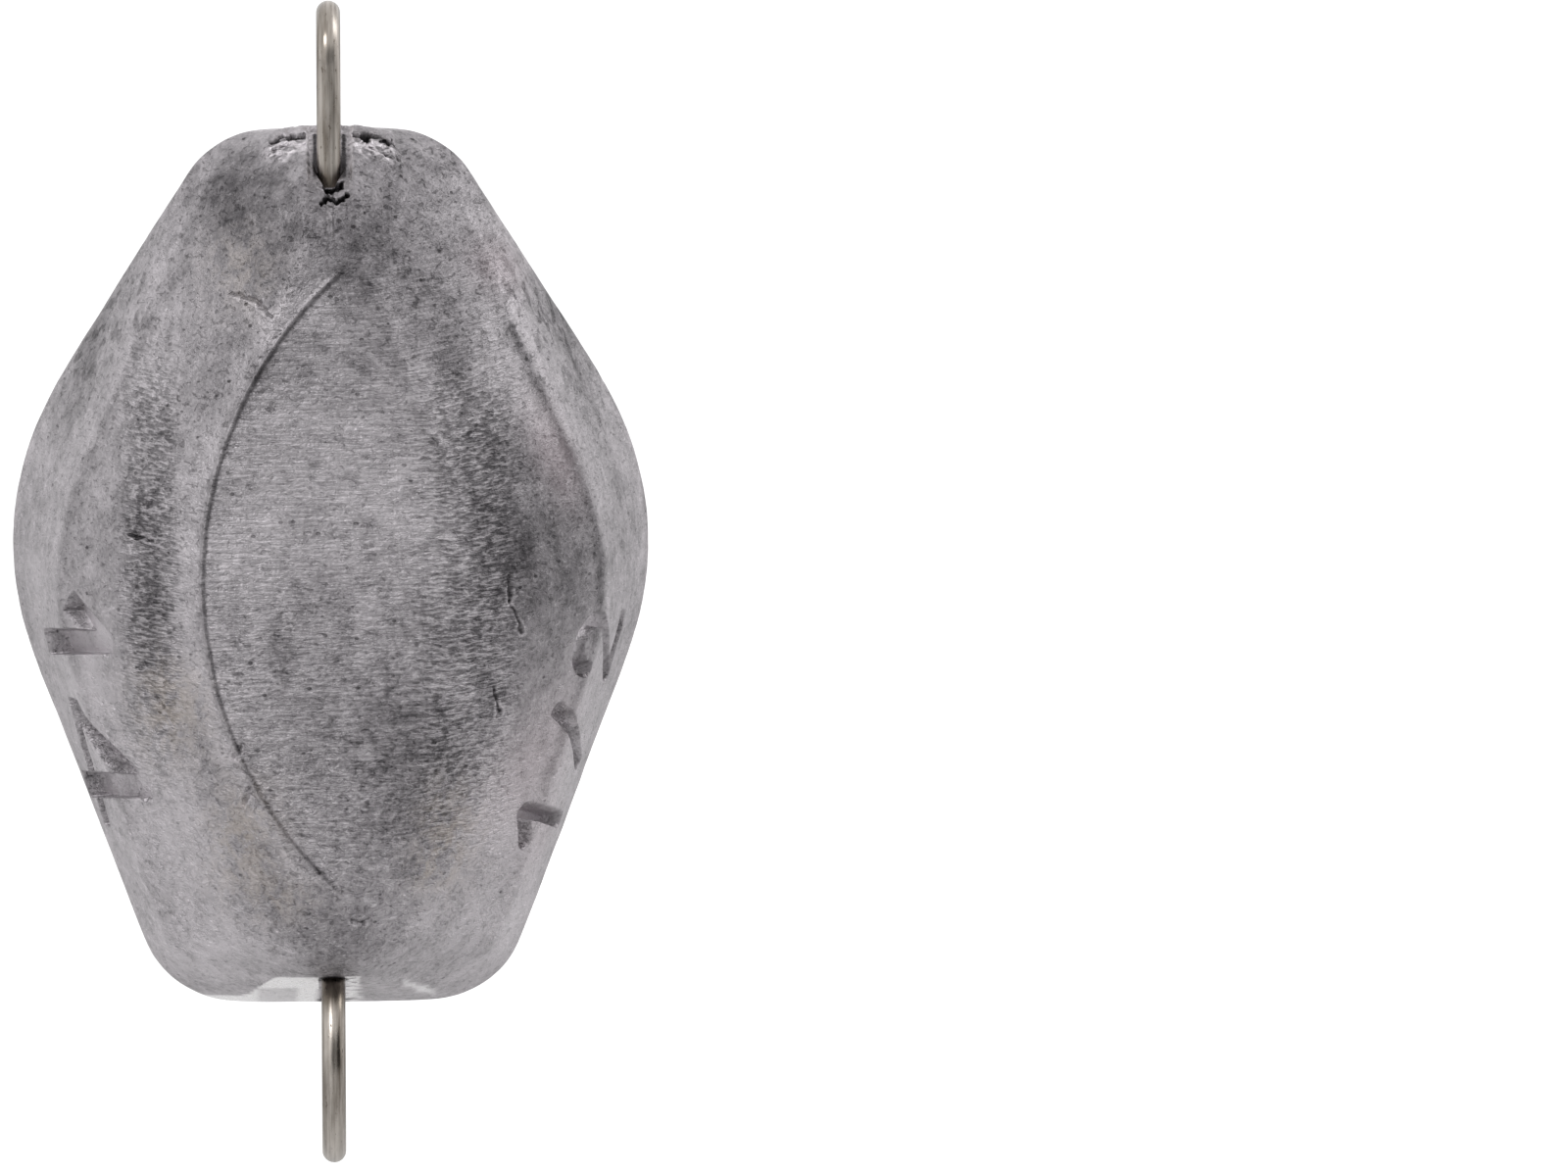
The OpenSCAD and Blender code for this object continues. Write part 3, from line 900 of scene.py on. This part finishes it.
def leopard_share(p):
    """Where the side is blotched: in a slanting band below the top."""
    band = bell(p[:, 2] - 5.4 + 0.25 * (p[:, 1] - 3.5), 1.5)
    return band * smoothstep(p[:, 1], 2.0, 3.2) * smoothstep(np.abs(p[:, 0]), 2.0, 3.2)


def rim_line(p, rim):
    """Painted shade: a dark line along the crease just inside the rim, fading out at the top and the foot,
    and weaker on the left.
    """
    line = bell(rim + 0.08, np.where(rim < -0.08, 0.16, 0.07))
    return line * fade(np.abs(p[:, 2] - 0.2), 4.2, 7.0) * np.where(p[:, 0] < 0, 0.45, 0.9)


def ripple(p):
    """Short level ripples of the mould: in a band on each bevel, and weaker low in the middle."""
    x, h = p[:, 0], p[:, 2]
    left = np.exp(-(((x + 4.05) / 0.62) ** 4)) * fade(np.abs(h + 0.3), 3.5, 6.0)
    right = smoothstep(x, 1.4, 2.4) * fade(x, 3.5, 4.6) * fade(np.abs(h + 1.2), 4.0, 6.5)
    low = 0.45 * smoothstep(lens_left(p), 0, 0.3) * fade(x, 1.4, 2.4) * smoothstep(-h, -2.0, 2.5)
    low *= fade(-h, 6.0, 8.0)
    return np.clip(np.maximum(np.maximum(left, right), low), 0, 1) * (p[:, 1] < 4)


def machined(p):
    """Faint level lines: on the flat front and the bevel to its right."""
    tall = fade(np.abs(p[:, 2]), 5.5, 8)
    return smoothstep(lens_left(p), -0.05, 0.1) * fade(p[:, 0], 3.6, 4.6) * tall * (p[:, 1] < 4)


class Nodes:
    """Short ways to add nodes to a material."""

    def __init__(self, name):
        self.material = bpy.data.materials.new(name)
        self.material.use_nodes = True
        self.tree = self.material.node_tree
        self.shader = self.tree.nodes["Principled BSDF"]
        where = self.tree.nodes.new("ShaderNodeTexCoord")
        self.place = self.scaled(where.outputs["Object"], (1 / MM,) * 3)

    def link(self, a, b):
        self.tree.links.new(a, b)

    def scaled(self, vector, factors):
        node = self.tree.nodes.new("ShaderNodeVectorMath")
        node.operation = "MULTIPLY"
        self.link(vector, node.inputs[0])
        node.inputs[1].default_value = factors
        return node.outputs[0]

    def run(self):
        """Where a place lies along and round the wire, in mm."""
        node = self.tree.nodes.new("ShaderNodeAttribute")
        node.attribute_name = "run"
        return node.outputs["Vector"]

    def noise(self, scale, detail=4.0, rough=0.55, stretch=(1, 1, 1), distortion=0.0):
        node = self.tree.nodes.new("ShaderNodeTexNoise")
        node.inputs["Scale"].default_value = scale
        node.inputs["Detail"].default_value = detail
        node.inputs["Roughness"].default_value = rough
        node.inputs["Distortion"].default_value = distortion
        self.link(self.scaled(self.place, stretch), node.inputs["Vector"])
        return node.outputs["Fac"]

    def voronoi(self, scale, stretch=(1, 1, 1)):
        node = self.tree.nodes.new("ShaderNodeTexVoronoi")
        node.inputs["Scale"].default_value = scale
        self.link(self.scaled(self.place, stretch), node.inputs["Vector"])
        return node.outputs["Distance"]

    def math(self, operation, a, b=None, c=None):
        node = self.tree.nodes.new("ShaderNodeMath")
        node.operation = operation
        for socket, value in zip(node.inputs, (a, b, c)):
            if value is None:
                continue
            if isinstance(value, (int, float)):
                socket.default_value = value
            else:
                self.link(value, socket)
        return node.outputs[0]

    def times(self, a, b):
        return self.math("MULTIPLY", a, b)

    def centred(self, value, middle=0.5):
        return self.math("SUBTRACT", value, middle)

    def add(self, value, term, share):
        """The value plus a share of a term."""
        return self.math("MULTIPLY_ADD", term, share, value)

    def ramp(self, value, low, high, out_low=0.0, out_high=1.0):
        node = self.tree.nodes.new("ShaderNodeMapRange")
        node.interpolation_type = "SMOOTHSTEP"
        self.link(value, node.inputs["Value"])
        node.inputs["From Min"].default_value = low
        node.inputs["From Max"].default_value = high
        node.inputs["To Min"].default_value = out_low
        node.inputs["To Max"].default_value = out_high
        return node.outputs["Result"]

    def mask(self, name):
        node = self.tree.nodes.new("ShaderNodeAttribute")
        node.attribute_name = name
        return node.outputs["Fac"]

    def mix(self, share, a, b):
        node = self.tree.nodes.new("ShaderNodeMix")
        node.data_type = "RGBA"
        for socket, value in ((node.inputs[0], share), (node.inputs[6], a), (node.inputs[7], b)):
            if isinstance(value, (int, float)):
                socket.default_value = value
            elif isinstance(value, tuple):
                socket.default_value = (*value, 1)
            else:
                self.link(value, socket)
        return node.outputs[2]

    def bump(self, height, distance_mm, strength):
        node = self.tree.nodes.new("ShaderNodeBump")
        node.inputs["Strength"].default_value = strength
        node.inputs["Distance"].default_value = distance_mm * MM
        self.link(height, node.inputs["Height"])
        return node.outputs["Normal"]

    def set(self, name, value):
        socket = self.shader.inputs[name]
        if isinstance(value, (int, float)):
            socket.default_value = value
        else:
            self.link(value, socket)


# How much each mask lightens or darkens the lead. Most are painted light or shade: the lighter band
# outside the rim, the rim crease, the parting line's shadow, the floors and walls of the marks, the nicks
# and their lips, the dark holes and gaps, the burr and the foot; the spots mix painted light and shade
# with the lead's own tone, and the slit mixes a stain with shade.
MASK_TONES = (
    ("band", 0.13),
    ("tone", 0.5),
    ("side", 0.5),
    ("slit", -0.45),
    ("rim_line", -0.26),
    ("stripe", 0.12),
    ("parting", -0.32),
    ("floor", 0.3),
    ("wall_shade", -0.11),
    ("pit", -0.9),
    ("nick_floor_shade", -0.16),
    ("lip_highlight", 0.22),
    ("burr_highlight", 0.75),
    ("foot", 0.3),
)
LEAD_DARK = (0.05, 0.046, 0.05)
LEAD_LIGHT = (0.66, 0.625, 0.652)
LEAD_WARM = (0.40, 0.33, 0.24)
LEAD_PINK = (0.45, 0.34, 0.37)
# Dark colour of the slit: a reddish stain, and painted shade in it
SLIT_STAIN_AND_SHADE = (0.045, 0.02, 0.024)
# Near-white colour of the painted highlight on the flat foot
FOOT_HIGHLIGHT_WHITE = (1.0, 0.98, 0.99)


def lead_material():
    n = Nodes("cast lead")
    broad = n.noise(0.55, 4, 0.6)
    mottle = n.noise(2.2, 6, 0.7, distortion=0.3)
    grain = n.noise(11, 3, 0.7)
    level = n.noise(1.0, 3, 0.55, stretch=(1.6, 1.6, 14))
    dashes = n.ramp(n.noise(1.0, 2, 0.5, stretch=(4.2, 4.2, 17)), 0.36, 0.64)
    upright = n.noise(1.0, 3, 0.5, stretch=(7, 7, 0.8))
    pits = n.ramp(n.voronoi(1.9, stretch=(1, 1, 1.5)), 0.07, 0.12, 1, 0)
    pits = n.times(pits, n.ramp(n.noise(1.3, 2, 0.5), 0.42, 0.58))
    specks = n.ramp(n.voronoi(5.5), 0.12, 0.24, 1, 0)
    flecks = n.noise(1.0, 3, 0.6, stretch=(5, 5, 9), distortion=0.6)
    bright = n.ramp(flecks, 0.58, 0.68)
    dark = n.ramp(flecks, 0.42, 0.33)
    blotch = n.ramp(n.noise(1.0, 1.5, 0.5, stretch=(2.6, 3.0, 2.0), distortion=0.4), 0.44, 0.37)
    blotch = n.times(blotch, n.mask("leopard"))
    knocks = n.noise(1.0, 3, 0.65, stretch=(3.2, 3.2, 5.5), distortion=1.2)
    knocks = n.math("SUBTRACT", n.ramp(knocks, 0.54, 0.64), n.ramp(knocks, 0.46, 0.36))
    knocks = n.times(knocks, n.mask("worn"))
    lines = n.times(n.centred(level), n.mask("machined"))
    rippled = n.times(n.centred(dashes, 0.6), n.mask("ripple"))
    brushed = n.times(n.centred(upright), n.mask("band"))

    value = n.add(0.54, n.centred(broad), 0.5)
    for term, share in (
        (n.centred(mottle), 0.7),
        (n.centred(grain), 0.55),
        (bright, 0.14),
        (dark, -0.16),
        (blotch, -0.24),
        (knocks, 0.13),
        (lines, 0.4),
        (rippled, 0.34),
        (brushed, 0.3),
        *((n.mask(name), share) for name, share in MASK_TONES),
        (pits, -0.3),
        (specks, -0.1),
    ):
        value = n.add(value, term, share)

    foot = n.mask("foot")
    colour = n.mix(n.ramp(value, -0.1, 1.15), LEAD_DARK, LEAD_LIGHT)
    warm = n.times(n.mask("warm"), n.ramp(mottle, 0.4, 0.6))
    colour = n.mix(n.times(warm, 0.45), colour, LEAD_WARM)
    colour = n.mix(n.times(n.mask("pink"), 0.3), colour, LEAD_PINK)
    colour = n.mix(n.times(n.mask("slit"), 0.8), colour, SLIT_STAIN_AND_SHADE)
    # Painted highlight: the foot's colour is mixed toward near-white, but not where it is painted dark
    foot_highlight = n.times(foot, n.add(1.0, n.mask("pit"), -1.0))
    n.set("Base Color", n.mix(foot_highlight, colour, FOOT_HIGHLIGHT_WHITE))
    n.set("Metallic", n.add(0.85, foot, -0.5))
    n.set("Roughness", n.add(n.ramp(mottle, 0.3, 0.7, 0.36, 0.52), foot, -0.15))

    height = n.add(mottle, grain, 0.6)
    for term, share in (
        (lines, 1.0),
        (rippled, 0.9),
        (knocks, 0.9),
        (bright, 0.5),
        (dark, -0.5),
        (pits, -1.2),
    ):
        height = n.add(height, term, share)
    height = n.times(height, n.add(1.0, foot, -0.8))
    n.set("Normal", n.bump(height, 0.05, 0.9))
    return n.material


WIRE_DARK = (0.17, 0.145, 0.12)
WIRE_LIGHT = (0.60, 0.555, 0.51)


def wire_material():
    n = Nodes("drawn steel wire")
    n.place = n.run()
    cloud = n.noise(1.0, 4, 0.6, stretch=(0.5, 3.2, 3.2))
    streak = n.noise(1.0, 3, 0.6, stretch=(0.25, 11, 11))
    specks = n.ramp(n.noise(1.0, 3, 0.7, stretch=(5, 9, 9)), 0.62, 0.72)
    value = n.add(cloud, n.centred(streak), 0.8)
    value = n.add(value, specks, -0.25)
    # Painted shade where the wire meets the lead
    value = n.add(value, n.mask("near_lead_shade"), -0.6)
    n.set("Base Color", n.mix(n.ramp(value, 0.2, 0.8), WIRE_DARK, WIRE_LIGHT))
    n.set("Metallic", 1.0)
    n.set("Roughness", n.ramp(cloud, 0.3, 0.7, 0.2, 0.36))
    n.set("Normal", n.bump(n.math("ADD", streak, specks), 0.008, 0.6))
    return n.material


def wire_route():
    """The wire's centre line as (y, z) in mm, from its end in the lead over the eye to the ring."""
    front = np.array([[-EYE_R, -EYE_H - 5], [-EYE_R, -EYE_H - 1]])
    eye_c = np.array([0, -EYE_GAP / 2])
    leg = [front[0] + (front[1] - front[0]) * t for t in np.linspace(0, 1, 4)]
    up = [np.array([-EYE_R, z]) for z in np.linspace(-EYE_H - 0.8, eye_c[1] - 0.1, 14)]
    eye = arc(eye_c, EYE_R, 180, 0, 40)
    down = [np.array([EYE_R, z]) for z in np.linspace(eye_c[1] - 0.1, -EYE_H - 0.9, 14)]
    foot = ring_c + [RING_R, 1.7]
    lean = [down[-1] + (foot - down[-1]) * t for t in np.linspace(0.05, 1, 14)]
    stub = [ring_c + [RING_R, z] for z in np.linspace(1.5, 0.15, 7)]
    ring = arc(ring_c, RING_R, 0, -262, 110)
    return np.array(leg + up + eye + down + lean + stub + ring)


def wire_object():
    """A tube along the route, whose radius varies a little, with painted shade where it meets the lead,
    and its own coordinates.
    """
    route = wire_route()
    sides = 32
    steps = len(route)
    along = np.gradient(route, axis=0)
    along /= np.linalg.norm(along, axis=1)[:, None]
    across = np.column_stack([-along[:, 1], along[:, 0]])
    turn_by = np.linspace(0, 2 * math.pi, sides, endpoint=False)
    length = np.cumsum(np.r_[0, np.linalg.norm(np.diff(route, axis=0), axis=1)])
    wobble = np.column_stack([length, np.zeros(steps), np.zeros(steps)])
    r = WIRE_R * (0.992 + 0.007 * value_noise(wobble, 1.7, 8))
    x = r[:, None] * np.cos(turn_by)
    out = r[:, None] * np.sin(turn_by)
    y = route[:, :1] + across[:, :1] * out
    z = route[:, 1:] + across[:, 1:] * out
    verts = np.clip(np.stack([x, y, z], -1).reshape(-1, 3) * MM, cad_low, cad_high)
    faces = []
    for i in range(steps - 1):
        for j in range(sides):
            k = (j + 1) % sides
            faces.append([i * sides + j, i * sides + k, (i + 1) * sides + k, (i + 1) * sides + j])
    faces.append(list(range(sides)))
    faces.append([(steps - 1) * sides + j for j in range(sides)][::-1])
    wire = mesh_object("bent_wire", verts, faces)
    run = np.stack([np.repeat(length[:, None], sides, 1), x, out], -1)
    add_attribute(wire.data, "run", "FLOAT_VECTOR", "vector", run)
    level = verts[:, 2] / MM
    ring_top = ring_c[1] + RING_IN_R + 0.15
    # Painted shade on the wire just above the ring's entries in the foot and where the legs go into the
    # top
    near_lead_shade = bell(level - ring_top + 0.05, 0.42) + 0.7 * bell(level + EYE_H + 0.9, 0.25)
    add_attribute(wire.data, "near_lead_shade", "FLOAT", "value", near_lead_shade)
    bm = bmesh.new()
    bm.from_mesh(wire.data)
    bmesh.ops.recalc_face_normals(bm, faces=bm.faces)
    for f in bm.faces:
        f.smooth = len(f.verts) == 4
    bm.to_mesh(wire.data)
    bm.free()
    return wire


def build():
    body = lead_body()
    body.data.materials.append(lead_material())
    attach(body, "root")
    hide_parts("lead_body")
    wire = wire_object()
    wire.data.materials.append(wire_material())
    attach(wire, "root")
    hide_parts("wire_form")


# Photographed frame: its width, the column of the object's middle in it, and its scale
IMAGE_W = 1600
OBJECT_COLUMN = 338
MM_PER_PIXEL = 0.02185
SENSOR_W = 36.0
LENS = 400.0
OBJECT_MIDDLE = Vector((0, -1.7, -12.49))


def camera():
    data = bpy.data.cameras.new("camera")
    data.lens = LENS
    data.sensor_width = SENSOR_W
    data.clip_start = 0.01
    data.clip_end = 50
    cam = linked("camera", data)
    away = IMAGE_W * MM_PER_PIXEL * LENS / SENSOR_W
    aside = (IMAGE_W / 2 - OBJECT_COLUMN) * MM_PER_PIXEL
    back = Vector((0, -math.cos(ELEVATION), math.sin(ELEVATION)))
    cam.location = (OBJECT_MIDDLE + back * away) * MM
    look_at = (OBJECT_MIDDLE + Vector((aside, 0, 0))) * MM
    cam.rotation_euler = (look_at - cam.location).to_track_quat("-Z", "Y").to_euler()
    bpy.context.scene.camera = cam


def world():
    w = bpy.data.worlds.new("studio")
    bpy.context.scene.world = w
    w.use_nodes = True
    tree = w.node_tree
    path = tree.nodes.new("ShaderNodeLightPath")
    seen = tree.nodes.new("ShaderNodeMath")
    seen.operation = "MAXIMUM"
    tree.links.new(path.outputs["Is Camera Ray"], seen.inputs[0])
    tree.links.new(path.outputs["Is Glossy Ray"], seen.inputs[1])
    also = tree.nodes.new("ShaderNodeMath")
    also.operation = "MAXIMUM"
    tree.links.new(seen.outputs[0], also.inputs[0])
    tree.links.new(path.outputs["Is Transmission Ray"], also.inputs[1])
    level = tree.nodes.new("ShaderNodeMapRange")
    level.inputs["To Min"].default_value = 0.6
    level.inputs["To Max"].default_value = 1.0
    tree.links.new(also.outputs[0], level.inputs["Value"])
    tree.links.new(level.outputs["Result"], tree.nodes["Background"].inputs["Strength"])
    tree.nodes["Background"].inputs["Color"].default_value = (1, 1, 1, 1)


def plain_material(name, colour):
    m = bpy.data.materials.new(name)
    m.use_nodes = True
    shader = m.node_tree.nodes["Principled BSDF"]
    shader.inputs["Base Color"].default_value = (*colour, 1)
    shader.inputs["Roughness"].default_value = 0.8
    return m


def floor():
    """Pale floor below the sinker, which is white where the camera sees it, but for shadows."""
    size, low, glow_share = 3.0, -0.06, 0.5
    corners = [(-size, -size, low), (size, -size, low), (size, size, low), (-size, size, low)]
    obj = mesh_object("floor", corners, [[0, 1, 2, 3]])
    m = plain_material("floor", (0.82, 0.82, 0.82))
    tree = m.node_tree
    shader = tree.nodes["Principled BSDF"]
    path = tree.nodes.new("ShaderNodeLightPath")
    glow = tree.nodes.new("ShaderNodeMath")
    glow.operation = "MULTIPLY"
    glow.inputs[1].default_value = glow_share
    tree.links.new(path.outputs["Is Camera Ray"], glow.inputs[0])
    shader.inputs["Emission Color"].default_value = (1, 1, 1, 1)
    tree.links.new(glow.outputs[0], shader.inputs["Emission Strength"])
    obj.data.materials.append(m)


# What the cards and the lamps face, in metres
AIM = Vector((0, 0, -0.012))


def card(name, centre, width, height, colour):
    """A board beside the camera that the metal mirrors but the camera doesn't see."""
    centre = Vector(centre)
    facing = (AIM - centre).to_track_quat("Z", "Y").to_matrix()
    corners = [(-1, -1), (1, -1), (1, 1), (-1, 1)]
    places = [centre + facing @ Vector((x * width / 2, y * height / 2, 0)) for x, y in corners]
    obj = mesh_object(name, places, [[0, 1, 2, 3]])
    obj.data.materials.append(plain_material(name, colour))
    obj.visible_camera = False


def lamp(name, place, size, power):
    data = bpy.data.lights.new(name, "AREA")
    data.shape = "DISK"
    data.size = size
    data.energy = power
    obj = linked(name, data)
    obj.location = place
    obj.rotation_euler = (AIM - obj.location).to_track_quat("-Z", "Y").to_euler()


build()
camera()
world()
floor()
card("front card", (0.02, -0.5, 0.05), 0.5, 0.45, (0.35, 0.35, 0.35))
card("dark card", (0.30, -0.28, -0.01), 0.22, 0.4, (0.03, 0.03, 0.03))
lamp("key", (-0.35, -0.45, 0.5), 0.25, 1.6)
lamp("fill", (0.5, 0.1, 0.4), 0.3, 0.8)
bpy.context.scene.view_settings.view_transform = "Standard"
